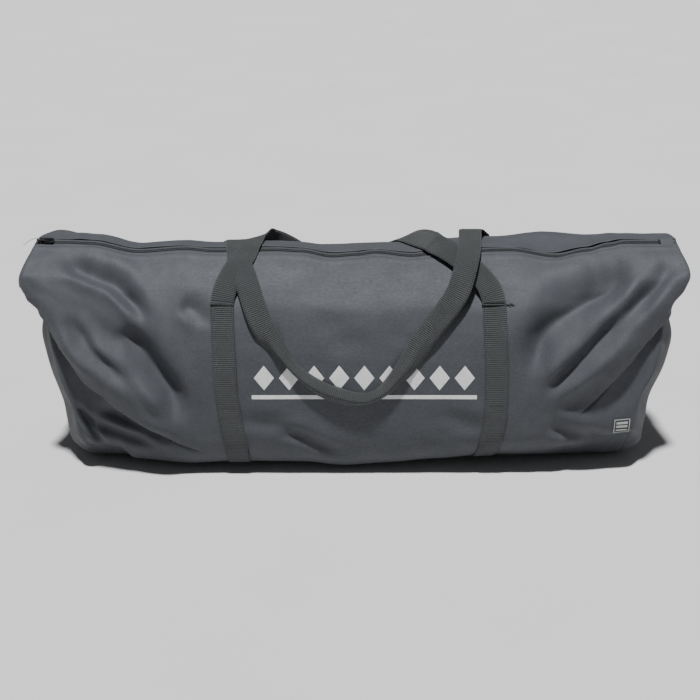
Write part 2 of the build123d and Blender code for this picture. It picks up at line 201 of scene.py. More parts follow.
def section(x):
    """The bag's outline in (y, z) at x, from the front edge of the zip round the bottom to its back edge."""
    zip_z, back_z, up = along(ZIP_LINE, x), along(BACK_EDGE, x), along(LIFT, x)
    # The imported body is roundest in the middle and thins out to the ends.
    slim = 1 - 0.12 * min(1, max(0, (abs(x) - 260) / 290)) ** 1.5
    front_hem = zip_point(x, -HEM_EDGE, HEM_UP)[1:]
    back_hem = zip_point(x, HEM_EDGE, HEM_UP)[1:]
    shoulder = (-98, zip_z - 41)
    front_foot = (-122 * slim, 9 + up)
    back_up = min(up, 20)
    back_foot = (124 * slim, 9 + back_up)
    top_front = [front_hem, (ZIP_Y - 40, zip_z - 16), shoulder]
    front = [shoulder, (-124 * slim, 284), (-144 * slim, 215), (-151 * slim, 140),
             (-149 * slim, 75 + 0.2 * up), (-138 * slim, 30 + up * 0.8), front_foot]
    bottom = [front_foot, (-100 * slim, 3.0 + up * 0.66), (-74, 2.6 + up * 0.16), (-40, 2.6), (50, 2.6),
              (96, 3.0 + back_up * 0.4), back_foot]
    back = [back_foot, (139 * slim, 30 + back_up * 0.6), (149 * slim, 75), (150 * slim, 140),
            (143 * slim, 215), (126, 285), (99, back_z - 8)]
    top_back = [(99, back_z - 8), (60, back_z + 8), (18, max(zip_z, back_z) + 2), back_hem]
    rest = ((front, SIDE), (bottom, BOTTOM), (back, SIDE), (top_back, TOP_BACK))
    parts = [smooth_path(line, count + 1)[1:] for line, count in rest]
    return np.concatenate([smooth_path(top_front, TOP_FRONT + 1), *parts])


def seam_x(side, y, z):
    """Where an end seam stands. Above the shoulder its back corner is drawn further in than its front one."""
    table = LEFT_SEAM if side < 0 else RIGHT_SEAM
    x = float(np.interp(z, [p[0] for p in table], [p[1] for p in table]))
    drawn = 32 * ease((z - 290) / 50) * ease((y + 10) / 110)
    return x - side * drawn


def shell_points(final):
    """The grid of the bag's skin. If final, its ends stand where they lie at rest, else at full length."""
    columns = np.concatenate([np.linspace(-1, -0.5, 36, endpoint=False),
                              np.linspace(-0.5, 0.5, 30, endpoint=False), np.linspace(0.5, 1, 37)])
    seams = {side: [seam_x(side, y, z) for y, z in section(side * 520)] for side in (-1, 1)}
    grid = np.zeros((len(columns), RING, 3))
    for i, c in enumerate(columns):
        side = -1 if c < 0 else 1
        t = max(0.0, (abs(c) - 0.5) / 0.5)  # the middle half stays put
        for j, (y, z) in enumerate(section(c * FULL_HALF)):
            x = c * FULL_HALF
            if final and t > 0:
                x = side * 0.5 * FULL_HALF + t * (seams[side][j] - side * 0.5 * FULL_HALF)
            grid[i, j] = (x, y, z)
    return grid


def coons(top, front, bottom, back, bulge):
    """A patch between four edges, crowned by bulge along X. top and bottom run front to back."""
    n, m = len(front), len(top)
    patch = np.zeros((n, m, 3))
    for i in range(n):
        v = i / (n - 1)
        for j in range(m):
            u = j / (m - 1)
            ruled = (1 - u) * front[i] + u * back[i] + (1 - v) * top[j] + v * bottom[j]
            corners = ((1 - u) * (1 - v) * front[0] + u * (1 - v) * back[0]
                       + (1 - u) * v * front[-1] + u * v * back[-1])
            patch[i, j] = ruled - corners
            crown = min(1, 5 * u * (1 - u)) * min(1, 4 * max(0, v - 0.14), 12 * (1 - v))
            patch[i, j, 0] += bulge * crown
    return patch


PANELS = ["front", "bottom", "back", "tape", "left_end", "right_end"]


def shell_mesh(final):
    """Vertices, faces, each face's panel and each corner's (u, v) for the closed skin."""
    grid = shell_points(final)
    columns = len(grid)
    verts = [tuple(p) for row in grid for p in row]
    index = np.arange(columns * RING).reshape(columns, RING)
    middle = []
    for i in range(columns):  # the zip's centre line, between the two hems
        verts.append(tuple((grid[i, 0] + grid[i, -1]) / 2))
        middle.append(len(verts) - 1)
    front_end = TOP_FRONT + SIDE
    bottom_end = front_end + BOTTOM
    faces, panels = [], []
    for i in range(columns - 1):
        for j in range(RING - 1):
            faces.append((index[i, j], index[i, j + 1], index[i + 1, j + 1], index[i + 1, j]))
            panels.append("front" if j < front_end else "bottom" if j < bottom_end else "back")
        faces.append((middle[i], index[i, 0], index[i + 1, 0], middle[i + 1]))
        faces.append((index[i, -1], middle[i], middle[i + 1], index[i + 1, -1]))
        panels += ["tape", "tape"]
    for side, i, panel in ((-1, 0, "left_end"), (1, columns - 1, "right_end")):
        ring = index[i]
        a, b = TOP_FRONT, TOP_FRONT + SIDE
        c, d = b + BOTTOM, b + BOTTOM + SIDE
        top = list(ring[a::-1]) + [middle[i]] + list(ring[:d - 1:-1])
        front, bottom, back = list(ring[a:b + 1]), list(ring[b:c + 1]), list(ring[d:c - 1:-1])
        edges = [np.array([verts[k] for k in ids]) for ids in (top, front, bottom, back)]
        patch = coons(*edges, bulge=side * END_BULGE)
        n, m = patch.shape[:2]
        ids = np.zeros((n, m), int)
        for p in range(n):
            for q in range(m):
                if p == 0:
                    ids[p, q] = top[q]
                elif p == n - 1:
                    ids[p, q] = bottom[q]
                elif q == 0:
                    ids[p, q] = front[p]
                elif q == m - 1:
                    ids[p, q] = back[p]
                else:
                    verts.append(tuple(patch[p, q]))
                    ids[p, q] = len(verts) - 1
        for p in range(n - 1):
            for q in range(m - 1):
                quad = (ids[p, q], ids[p + 1, q], ids[p + 1, q + 1], ids[p, q + 1])
                faces.append(quad if side > 0 else quad[::-1])
                panels.append(panel)
    verts = np.array(verts)
    # Cloth coordinates in metres, for the weave: along the bag and round it, or across and up an end panel
    wrap = np.zeros((len(verts), 2))
    rounds = run_lengths(grid[columns // 2])
    for i in range(columns):
        u = FULL_HALF * (-1 + 2 * i / (columns - 1))
        wrap[index[i]] = np.stack([np.full(RING, u), rounds], axis=1)
    corners = []
    for face, panel in zip(faces, panels):
        corners += [verts[k, 1:] if panel.endswith("end") else wrap[k] for k in face]
    seams = set(index[0]) | set(index[-1])
    hems = set(index[:, 0]) | set(index[:, -1]) | set(middle)
    return verts, faces, panels, np.array(corners) * MM, seams, hems


def placed(name, data):
    """A new object in the scene."""
    obj = bpy.data.objects.new(name, data)
    bpy.context.collection.objects.link(obj)
    return obj


def new_object(name, verts, faces, uvs=None, smooth=True):
    """A mesh object from points in millimetres. uvs are in metres, one for each corner of each face."""
    mesh = bpy.data.meshes.new(name)
    points = [tuple(float(c) * MM for c in v) for v in verts]
    mesh.from_pydata(points, [], [tuple(map(int, f)) for f in faces])
    if uvs is not None:
        layer = mesh.uv_layers.new(name="cloth")
        layer.data.foreach_set("uv", np.array(uvs, np.float32).reshape(-1))
    mesh.polygons.foreach_set("use_smooth", [smooth] * len(mesh.polygons))
    mesh.update()
    return placed(name, mesh)


def points_of(mesh):
    """A mesh's points in millimetres."""
    points = np.zeros(len(mesh.vertices) * 3, np.float32)
    mesh.vertices.foreach_get("co", points)
    return points.reshape(-1, 3).astype(float) / MM


def set_points(mesh, points):
    """Gives a mesh its points, in millimetres."""
    mesh.vertices.foreach_set("co", (points * MM).astype(np.float32).reshape(-1))
    mesh.update()


def applied(obj):
    """The object's mesh with its modifiers applied, on an object without any."""
    graph = bpy.context.evaluated_depsgraph_get()
    mesh = bpy.data.meshes.new_from_object(obj.evaluated_get(graph))
    obj.modifiers.clear()
    obj.shape_key_clear()
    obj.data = mesh
    return obj


def subdivide(obj):
    """One level of smooth subdivision."""
    finer = obj.modifiers.new("finer", "SUBSURF")
    finer.levels = finer.render_levels = 1
    return applied(obj)


def to_line(points, line):
    """For (x, z) points: distance to a line, signed by side, place along it (0 to 1), and the way off it."""
    best = np.full(len(points), 1e9)
    place, side, away = np.zeros(len(points)), np.zeros(len(points)), np.zeros((len(points), 2))
    line = smooth_path([(x, z, 0) for x, z in line], 40)[:, :2]
    lengths = np.linalg.norm(np.diff(line, axis=0), axis=1)
    done = 0.0
    for a, b, length in zip(line, line[1:], lengths):
        way = (b - a) / length
        off = points - a
        t = np.clip(off @ way, 0, length)
        dist = np.linalg.norm(off - t[:, None] * way, axis=1)
        near = dist < best
        best[near] = dist[near]
        place[near] = (done + t[near]) / lengths.sum()
        side[near] = np.sign(way[0] * off[near, 1] - way[1] * off[near, 0])
        away[near] = np.array([-way[1], way[0]])
        done += length
    return best * side, place, away


def front_share(points):
    """How much each point belongs to the front, from 0 to 1."""
    return ease((-points[:, 1] - 25) / 50) * ease((points[:, 2] - 4) / 34)


def out_of_front(points):
    """The way out of the front at each point: level down the side, and up over the top edge."""
    lean = 0.95 * ease((points[:, 2] - 240) / 110) - 0.35 * ease((90 - points[:, 2]) / 90)
    return np.stack([np.zeros(len(points)), -np.cos(lean), np.sin(lean)], axis=1)


def fold(points, share):
    """Moves the skin's points into the broad folds."""
    flat = points[:, [0, 2]]
    out = np.zeros(len(points))
    for line, depth, above, below in FOLDS:
        s, t, _ = to_line(flat, line)
        if line[-1][0] < line[0][0]:
            s = -s
        width = np.where(s > 0, above, below)
        shape = np.exp(-(s / width) ** 2) - 0.3 * np.exp(-((np.abs(s) - 2.1 * width) / width) ** 2)
        out -= FOLD_DEPTH * depth * shape * ease(t / 0.2) * ease((1 - t) / 0.3)
    for line, roll, cleft, _, turn in CREASES:
        s, t, _ = to_line(flat, line)
        s = s * turn
        gap = np.abs(s)
        near = ease((1 - t) / 0.4)
        swell = roll * (s / ROLL_WIDTH) * np.exp(1 - gap / ROLL_WIDTH)
        hollow = 0.45 * cleft * (1 - np.exp(-gap / HOLLOW_NEAR)) * np.exp(-gap / HOLLOW_FAR)
        out += np.where(s > 0, swell, 0) * near
        out -= np.where(s <= 0, hollow, 0) * near
    return points + out_of_front(points) * (out * share)[:, None]


def crease(points, share):
    """Cuts the clefts under the two rolls, whose lower edges lap over them."""
    flat = points[:, [0, 2]]
    out = np.zeros(len(points))
    slide = np.zeros((len(points), 2))
    for line, _, cleft, lap, turn in CREASES:
        s, t, away = to_line(flat, line)
        s, away = s * turn, away * turn
        near = ease((1 - t) / 0.5) ** 0.7
        gap = np.abs(s)
        out += np.where(s > 0, 5.0 * np.exp(-gap / 8), 0) * near
        wide = 6 + 7 * ease((0.32 - t) / 0.3)  # a cleft is widest at its outer end
        out -= np.where(s <= 0, cleft * np.exp(-(gap / wide) ** 2), 0) * near
        drawn = np.where(s > 0, -np.exp(-gap / ROLL_WIDTH), 0.6 * np.exp(-gap / 7))
        slide += away * (drawn * lap * near)[:, None]
    moved = points + out_of_front(points) * (out * share)[:, None]
    moved[:, 0] += slide[:, 0] * share
    moved[:, 2] += slide[:, 1] * share
    return moved


def wrinkle(points):
    """Small unevenness of packed cloth, more of it towards the ends."""
    moved = points.copy()
    for k, (x, y, z) in enumerate(points):
        ends = min(1.0, max(0.15, (abs(x) - 120) / 250))
        slant = 0.7 if x < 0 else -0.7
        place = Vector((x * 0.014, y * 0.012, (z + slant * x) * 0.020))
        small = Vector((x * 0.045, y * 0.04, z * 0.05))
        size = SAG_SIZE * ends * noise.noise(place) + RIPPLE_SIZE * noise.noise(small)
        pull = min(1.0, max(0.0, z - 4) / 25)
        out = Vector((0.0, y, max(0.0, z - 200)))
        out = out.normalized() if out.length > 1 else Vector((0, 0, 0))
        moved[k] += np.array(out) * size * pull
    return moved


def settle(shell, rest, target, seams, hems, frames):
    """Lets the loose cloth at the ends settle into its folds, as a short cloth simulation."""
    shell.shape_key_add(name="Basis")
    key = shell.shape_key_add(name="cut")
    key.data.foreach_set("co", (rest * MM).astype(np.float32).reshape(-1))
    pins = shell.vertex_groups.new(name="pins")
    for k, p in enumerate(target):
        loose = LOOSENESS * float(ease((abs(p[0]) - ENDS_FROM) / 90))
        held = 1.0 if k in seams or k in hems else 1 - loose
        pins.add([int(k)], held, "REPLACE")
    cloth = shell.modifiers.new("cloth", "CLOTH")
    settings = cloth.settings
    settings.quality = 6
    settings.mass = 0.25
    settings.tension_stiffness = settings.compression_stiffness = 25
    settings.shear_stiffness = 15
    settings.bending_stiffness = 0.8
    settings.tension_damping = settings.compression_damping = 12
    settings.shear_damping = 10
    settings.bending_damping = 1.0
    settings.air_damping = 3
    settings.vertex_group_mass = "pins"
    settings.pin_stiffness = 2.5
    settings.rest_shape_key = key
    cloth.collision_settings.use_self_collision = True
    cloth.collision_settings.self_distance_min = 0.003
    cloth.point_cache.frame_start, cloth.point_cache.frame_end = 1, frames
    scene = bpy.context.scene
    scene.frame_start, scene.frame_end = 1, frames
    for f in range(1, frames + 1):
        scene.frame_set(f)
    applied(shell)
    scene.frame_set(1)


# ---------------------------------------------------------------- materials
def feed(tree, shader, inputs):
    """Gives a node's inputs their values, each a plain value or the socket that it comes from."""
    for name, value in inputs.items():
        if isinstance(value, bpy.types.NodeSocket):
            tree.links.new(value, shader.inputs[name])
        else:
            shader.inputs[name].default_value = value


def node(tree, kind, inputs, **settings):
    """A new shader node with its settings and inputs."""
    made = tree.nodes.new(kind)
    for name, value in settings.items():
        setattr(made, name, value)
    feed(tree, made, inputs)
    return made


def calc(tree, operation, a, b):
    """A Math node's result on two inputs."""
    return node(tree, "ShaderNodeMath", {0: a, 1: b}, operation=operation).outputs[0]


def surface(name, low, high, rough, mottle, relief, coords="Object", sheen=0.0, metallic=0.0):
    """A procedural material. Its colour wanders between low and high by noises of mottle's (scale, share).
    Its relief is a sum of ("noise", scale, height) and ("wave", axis, wavelength, height), in metres."""
    material = bpy.data.materials.new(name)
    material.use_nodes = True
    tree = material.node_tree
    place = node(tree, "ShaderNodeTexCoord", {}).outputs[coords]
    share = 0.0
    for scale, part in mottle:
        speckle = node(tree, "ShaderNodeTexNoise", {"Vector": place, "Scale": scale, "Detail": 4})
        share = calc(tree, "ADD", share, calc(tree, "MULTIPLY", speckle.outputs["Fac"], part))
    spread = node(tree, "ShaderNodeMapRange", {"Value": share, "From Min": 0.3, "From Max": 0.7})
    spread = spread.outputs["Result"]
    ends = {"A": (*low, 1), "B": (*high, 1), "Factor": spread}
    mix = node(tree, "ShaderNodeMix", ends, data_type="RGBA")
    gloss = node(tree, "ShaderNodeMapRange",
                 {"Value": spread, "To Min": rough + 0.06, "To Max": rough - 0.06})
    look = {"Base Color": mix.outputs["Result"], "Roughness": gloss.outputs["Result"], "Metallic": metallic,
            "Sheen Weight": sheen, "Sheen Roughness": 0.45}
    height = 0.0
    for kind, *numbers in relief:
        size = numbers.pop()
        if kind == "noise":
            bumps = node(tree, "ShaderNodeTexNoise", {"Vector": place, "Scale": numbers[0], "Detail": 3})
        else:
            axis, length = numbers
            wave = {"Vector": place, "Scale": pi / 10 / length, "Distortion": 0.4, "Detail Scale": 0.3}
            bumps = node(tree, "ShaderNodeTexWave", wave, bands_direction=axis)
        height = calc(tree, "ADD", height, calc(tree, "MULTIPLY", bumps.outputs["Fac"], size))
    if relief:
        look["Normal"] = node(tree, "ShaderNodeBump", {"Height": height, "Distance": 1.0}).outputs["Normal"]
    feed(tree, tree.nodes["Principled BSDF"], look)
    return material


def all_materials():
    """Every slot's material, by its name in the record."""
    weave = [("wave", "X", 0.0011, 0.00005), ("wave", "Y", 0.0012, 0.00005), ("noise", 900, 0.00009)]
    ribs = [("wave", "Y", 0.0032, 0.0009), ("wave", "X", 0.0024, 0.0005), ("noise", 700, 0.0003)]
    twill = [("wave", "X", 0.0009, 0.00008), ("wave", "Y", 0.0016, 0.0001)]
    fine = [("noise", 1200, 0.00006)]
    made = {}

    def look(name, *values, **more):
        """Makes one material, with what surface() takes."""
        made[name] = surface(name, *values, **more)

    look("bag_fabric", (0.029, 0.032, 0.039), (0.053, 0.057, 0.066), 0.72,
         [(260, 0.45), (38, 0.3), (7, 0.25)], weave, "UV", sheen=0.05)
    look("binding_tape", (0.02, 0.02, 0.024), (0.034, 0.034, 0.038), 0.8, [(300, 1)], twill, "UV", sheen=0.1)
    look("zip_tape", (0.029, 0.031, 0.037), (0.049, 0.053, 0.06), 0.75,
         [(400, 0.6), (40, 0.4)], twill, "UV", sheen=0.15)
    look("zip_coil", (0.03, 0.032, 0.036), (0.05, 0.053, 0.058), 0.45, [(500, 1)], fine)
    look("zip_metal", (0.010, 0.010, 0.012), (0.03, 0.03, 0.033), 0.36,
         [(400, 0.5), (60, 0.5)], [("noise", 500, 0.00005)], metallic=0.4)
    look("light_cord", (0.42, 0.41, 0.39), (0.66, 0.65, 0.62), 0.7,
         [(900, 1)], [("noise", 1500, 0.0002)], sheen=0.3)
    look("webbing", (0.017, 0.020, 0.021), (0.032, 0.036, 0.038), 0.62,
         [(420, 0.6), (30, 0.4)], ribs, "UV", sheen=0.08)
    look("thread", (0.014, 0.015, 0.018), (0.028, 0.03, 0.034), 0.6, [(900, 1)], fine, sheen=0.2)
    look("print_ink", (0.52, 0.53, 0.52), (0.70, 0.71, 0.70), 0.55, [(300, 0.6), (60, 0.4)], weave, "UV")
    look("woven_label", (0.022, 0.024, 0.027), (0.04, 0.042, 0.046), 0.7, [(500, 1)], twill, "UV", sheen=0.1)
    look("label_thread", (0.32, 0.33, 0.33), (0.5, 0.51, 0.5), 0.6, [(900, 1)], fine)
    look("pole_tube", (0.03, 0.03, 0.034), (0.05, 0.05, 0.055), 0.42,
         [(150, 0.5), (25, 0.5)], [("noise", 600, 0.00006)], metallic=0.2)
    look("pole_plastic", (0.014, 0.014, 0.016), (0.026, 0.026, 0.028), 0.5,
         [(300, 1)], [("noise", 800, 0.00008)])
    look("net_fabric", (0.016, 0.017, 0.02), (0.045, 0.046, 0.05), 0.85,
         [(220, 0.7), (30, 0.3)], [("noise", 260, 0.0009)], sheen=0.2)
    look("tie_strap", (0.018, 0.018, 0.022), (0.036, 0.036, 0.04), 0.85,
         [(500, 1)], [("noise", 1300, 0.0005)], sheen=0.3)
    look("ball_rubber", (0.66, 0.46, 0.07), (0.8, 0.6, 0.13), 0.55,
         [(90, 0.6), (14, 0.4)], [("noise", 900, 0.00012)])
    return made


MATERIALS = all_materials()


def finish_piece(obj, slot, body="bag", material=None):
    """Gives a new piece its material, the one named after its slot unless another is named, and the body that
    it moves with.
    """
    obj.data.materials.clear()
    obj.data.materials.append(MATERIALS[material or slot])
    if body:
        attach(obj, body)
    return obj


# ---------------------------------------------------------------- the bag's cloth
def make_cloth():
    """The skin, settled into its folds and parted into its five panels."""
    full, faces, panels, uvs, seams, hems = shell_mesh(False)
    target = shell_mesh(True)[0]
    share = front_share(target)
    share[list(seams)] *= SEAM_SHARE
    carved = fold(target, share)
    shell = new_object("bag_cloth", carved, faces, uvs)
    for name in PANELS:
        shell.data.materials.append(bpy.data.materials.new(name))
    shell.data.polygons.foreach_set("material_index", [PANELS.index(p) for p in panels])
    settle(shell, carved + SLACK * (full - target), carved, seams, hems, SIM_FRAMES)
    subdivide(shell)
    set_points(shell.data, wrinkle(points_of(shell.data)))
    made = {panel: part_of(shell, number, panel) for number, panel in enumerate(PANELS) if panel != "tape"}
    bpy.data.objects.remove(shell)
    return made


def part_of(shell, number, panel):
    """One panel of the skin, with its clefts cut and its hem raised."""
    mesh = shell.data
    chosen = [p for p in mesh.polygons if p.material_index == number]
    used = sorted({v for p in chosen for v in p.vertices})
    place = {v: k for k, v in enumerate(used)}
    faces = [[place[v] for v in p.vertices] for p in chosen]
    layer = mesh.uv_layers.active.data
    uvs = [tuple(layer[k].uv) for p in chosen for k in p.loop_indices]
    piece = new_object(f"{panel}_panel_cloth", points_of(mesh)[used], faces, uvs)
    if panel in ("front", "left_end", "right_end"):
        subdivide(piece)
        points = points_of(piece.data)
        set_points(piece.data, crease(points, front_share(points)))
    if panel in ("front", "back"):
        set_points(piece.data, raise_hem(points_of(piece.data)))
    piece.data.polygons.foreach_set("use_smooth", [True] * len(piece.data.polygons))
    thick = piece.modifiers.new("edge", "SOLIDIFY")
    thick.thickness = CLOTH_THICK * MM
    thick.offset = -1
    thick.use_rim_only = True
    finish_piece(piece, "bag_fabric")
    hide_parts(f"{panel}_panel")
    return piece


def raise_hem(points):
    """The panel's edge beside the zip is folded under, and a row of stitches pulls it in."""
    heights = np.array([along(ZIP_LINE, x) for x in points[:, 0]])
    across = np.hypot(points[:, 1] - ZIP_Y, points[:, 2] - heights) - HEM_EDGE
    raised = 1.1 * ease((HEM_TUCK - across) / 4) - 0.9 * np.exp(-((across - HEM_STITCH) / 2.2) ** 2)
    return points + out_of_front(points) * np.array([0, 0.4, 1]) * raised[:, None]


panels = make_cloth()


def tree_of(objects):
    """A search tree of several objects' surfaces, in millimetres."""
    verts, faces = [], []
    for obj in objects:
        start = len(verts)
        verts += [Vector(p) for p in points_of(obj.data)]
        faces += [[start + v for v in p.vertices] for p in obj.data.polygons]
    return BVHTree.FromPolygons(verts, faces)


SKIN = tree_of(panels.values())


# ---------------------------------------------------------------- strips, stitches and patches on the cloth
LOW_BAR_Z = 136.0  # a row of stitches across each webbing, low on the front
LOW_GAP, TOP_GAP = 0.35, 0.5  # how far a webbing's underside and the thickness over it are off the cloth
HANDLE_GAP = 0.9  # how far a handle's underside is kept off the cloth
NEAR_CLOTH = 60.0  # further off than this, a handle isn't lying on the cloth
RAY_START, RAY_REACH = 400.0, 800.0


def ribbon_mesh(name, centres, ways, outs, width, thick, folds, lanes=9):
    """A strap along its centre points, with the ways across and out of it and its lengthwise fold at each."""
    count = len(centres)
    lane = np.linspace(-1, 1, lanes)
    steps = run_lengths(centres)
    top, low = np.zeros((count, lanes, 3)), np.zeros((count, lanes, 3))
    for i in range(count):
        c, s = cos(folds[i]), sin(folds[i])
        for j, u in enumerate(lane):
            point = centres[i] + ways[i] * (u * width / 2 * c) + outs[i] * (abs(u) * width / 2 * s)
            normal = outs[i] * c - ways[i] * (np.sign(u) * s)
            half = thick / 2 * (0.45 if abs(u) == 1 else 1)
            top[i, j], low[i, j] = point + normal * half, point - normal * half
    return strap_object(name, top, low, steps, width)


def strap_object(name, top, low, steps, width):
    """A closed strap between two grids of points, with (u, v) in metres across and along it."""
    count, lanes = top.shape[:2]
    verts = np.concatenate([top.reshape(-1, 3), low.reshape(-1, 3)])
    ids = np.arange(count * lanes).reshape(count, lanes)
    under = ids + count * lanes
    place = {}
    for i in range(count):
        for j in range(lanes):
            place[ids[i, j]] = place[under[i, j]] = ((j / (lanes - 1)) * width * MM, steps[i] * MM)
    faces = []
    for i in range(count - 1):
        for j in range(lanes - 1):
            faces.append((ids[i, j], ids[i, j + 1], ids[i + 1, j + 1], ids[i + 1, j]))
            faces.append((under[i, j], under[i + 1, j], under[i + 1, j + 1], under[i, j + 1]))
        faces.append((ids[i, 0], ids[i + 1, 0], under[i + 1, 0], under[i, 0]))
        faces.append((ids[i, -1], under[i, -1], under[i + 1, -1], ids[i + 1, -1]))
    for i, step in ((0, 1), (count - 1, -1)):
        for j in range(lanes - 1):
            quad = (ids[i, j], under[i, j], under[i, j + 1], ids[i, j + 1])
            faces.append(quad[::step])
    return new_object(name, verts, faces, [place[v] for f in faces for v in f])


def frames_of(centres, ways):
    """Unit ways across and out of a strap, squared to its run."""
    run = unit(np.gradient(centres, axis=0))
    ways = unit(ways - run * np.sum(ways * run, axis=1)[:, None])
    return ways, np.cross(ways, run)


def on_skin(x, y, z, way):
    """The point and normal of the cloth that a ray from outside meets."""
    start = Vector((x, y, z)) - Vector(way) * RAY_START
    spot, normal, _, _ = SKIN.ray_cast(start, Vector(way), RAY_REACH)
    return (np.array(spot), np.array(normal)) if spot is not None else (None, None)


def girth(name, centre_at):
    """A webbing round the bag, from the front stitches under the bag to the back ones, laid on the cloth.
    centre_at gives its x for a turn from 0 at the front stitches to 1 at the back ones."""
    count, lanes, tries = 190, 7, 900
    first_angle, sweep = radians(115), radians(310)  # measured from +Y, over the front, down and round

    def inward(a):
        """The way in to the bag's middle at turn a."""
        angle = first_angle + a * sweep
        return 0, -cos(angle), -sin(angle)

    spots, normals = np.zeros((count, lanes, 3)), np.zeros((count, lanes, 3))
    turns = np.array([on_skin(centre_at(a), 0, 120, inward(a))[0] for a in np.linspace(0, 1, tries)])
    ok = turns[:, 2] < STITCH_Z + 1
    first, last = np.argmax(ok), len(ok) - 1 - np.argmax(ok[::-1])
    steps = run_lengths(turns[first:last + 1])
    shares = np.interp(np.linspace(0, steps[-1], count), steps, np.linspace(0, 1, tries)[first:last + 1])
    for i, a in enumerate(shares):
        for j, u in enumerate(np.linspace(-0.5, 0.5, lanes)):
            spots[i, j], normals[i, j] = on_skin(centre_at(a) - u * WEB_WIDTH, 0, 120, inward(a))
    # Webbing is stiffer than the cloth, so it evens out the small wrinkles under it.
    for _ in range(3):
        for grid in (spots, normals):
            even_out(grid)
            even_out(grid.swapaxes(0, 1))
    normals = unit(normals)
    rim = np.where((np.arange(lanes) == 0) | (np.arange(lanes) == lanes - 1), 0.6, 1.0)[None, :, None]
    top = spots + normals * (TOP_GAP + WEB_THICK * rim)
    low = spots + normals * LOW_GAP
    obj = strap_object(f"{name}_strap", top, low, np.linspace(0, steps[-1], count), WEB_WIDTH)
    finish_piece(obj, "webbing")
    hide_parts(name)
    return top, normals


def tube_faces(start, rows, around):
    """The faces of a capped tube whose rings of points follow one another from start."""
    faces = []
    for i in range(rows - 1):
        for q in range(around):
            a, b = start + i * around + q, start + i * around + (q + 1) % around
            faces.append((a, b, b + around, a + around))
    faces.append(tuple(range(start, start + around))[::-1])
    faces.append(tuple(range(start + (rows - 1) * around, start + rows * around)))
    return faces


def stitches(name, paths, pitch=3.6, long=2.6, size=0.55, replaced=()):
    """Rows of stitches: small rounded bars laid end to end along each path of (point, normal)."""
    verts, faces = [], []
    ring = [(0, -0.5), (0.5, -0.1), (0.35, 0.45), (-0.35, 0.45), (-0.5, -0.1)]
    for points, normals in paths:
        steps = run_lengths(points)
        for k in range(int(steps[-1] // pitch)):
            stations = (k + 0.5) * pitch + long * np.array([-0.5, -0.25, 0.25, 0.5])
            spots = np.stack([np.interp(stations, steps, points[:, i]) for i in range(3)], axis=1)
            up = np.array([np.interp(stations[0], steps, normals[:, i]) for i in range(3)])
            up /= np.linalg.norm(up)
            run = spots[-1] - spots[0]
            side = np.cross(run, up)
            side /= max(np.linalg.norm(side), 1e-6)
            start = len(verts)
            for spot, swell, sink in zip(spots, (0.35, 1, 1, 0.35), (-0.5, 0, 0, -0.5)):
                for a, b in ring:
                    verts.append(spot + (side * a * 2 + up * (b + sink)) * size * swell)
            faces += tube_faces(start, len(spots), len(ring))
    obj = new_object(name, verts, faces)
    finish_piece(obj, "thread")
    if replaced:
        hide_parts(*replaced)
    return obj


def patches(corner_sets, lift, cells=12):
    """Verts, faces and uvs of four-cornered (x, z) patches laid on the front of the cloth."""
    verts, faces, uvs = [], [], []
    for corners in corner_sets:
        a, b, c, d = (np.array(p, float) for p in corners)
        start = len(verts)
        for i in range(cells + 1):
            for j in range(cells + 1):
                u, v = i / cells, j / cells
                x, z = (1 - u) * (1 - v) * a + u * (1 - v) * b + u * v * c + (1 - u) * v * d
                spot, normal = on_skin(x, -140, z, (0, 1, 0))
                verts.append(spot + normal * lift)
        for i in range(cells):
            for j in range(cells):
                k = start + i * (cells + 1) + j
                face = (k, k + cells + 1, k + cells + 2, k + 1)
                faces.append(face)
                uvs += [(verts[q][0] * MM, verts[q][2] * MM) for q in face]
    return verts, faces, uvs


def rectangle(x, z, wide, tall):
    """The corners of an upright rectangle about (x, z)."""
    return [(x - wide / 2, z - tall / 2), (x + wide / 2, z - tall / 2), (x + wide / 2, z + tall / 2),
            (x - wide / 2, z + tall / 2)]


def make_print():
    """A generic net motif in white ink: a row of diamonds over a line."""
    centre, row, wide, tall, pitch, count = 12.0, 182.0, 33.0, 42.0, 41.0, 9
    shapes = []
    for i in range(count):
        x = centre + (i - (count - 1) / 2) * pitch
        shapes.append([(x - wide / 2, row), (x, row - tall / 2), (x + wide / 2, row), (x, row + tall / 2)])
    line_z, line_tall, pieces = row - tall / 2 - 12, 7, 12
    step = count * pitch / pieces
    for i in range(pieces):
        x = centre - count * pitch / 2 + (i + 0.5) * step
        shapes.append(rectangle(x, line_z, step, line_tall))
    obj = new_object("front_print_ink", *patches(shapes, 0.35))
    finish_piece(obj, "print_ink")
    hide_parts("front_print")


def make_label():
    """The woven patch: a dark square with a light frame and plain bars."""
    x, z, size, line = 441.0, 88.0, 29.0, 1.3
    patch = new_object("label_patch", *patches([rectangle(x, z, size, size)], 1.1, 16))
    thick = patch.modifiers.new("thick", "SOLIDIFY")
    thick.thickness = 1.0 * MM
    thick.offset = -1
    finish_piece(patch, "woven_label")
    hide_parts("corner_label")
    reach = size / 2 - 1.6
    shapes = [rectangle(x, z - reach, 2 * reach, line), rectangle(x, z + reach, 2 * reach, line),
              rectangle(x - reach, z, line, 2 * reach), rectangle(x + reach, z, line, 2 * reach),
              rectangle(x, z + 6.5, 19, 4.2), rectangle(x, z, 19, 4.2), rectangle(x, z - 7, 19, 2.4)]
    lines = new_object("label_lines", *patches(shapes, 1.3, 8))
    finish_piece(lines, "woven_label", material="label_thread")


# ---------------------------------------------------------------- zip
TAPE_TOP, TAPE_LOW = -0.1, -0.9  # below the zip's line


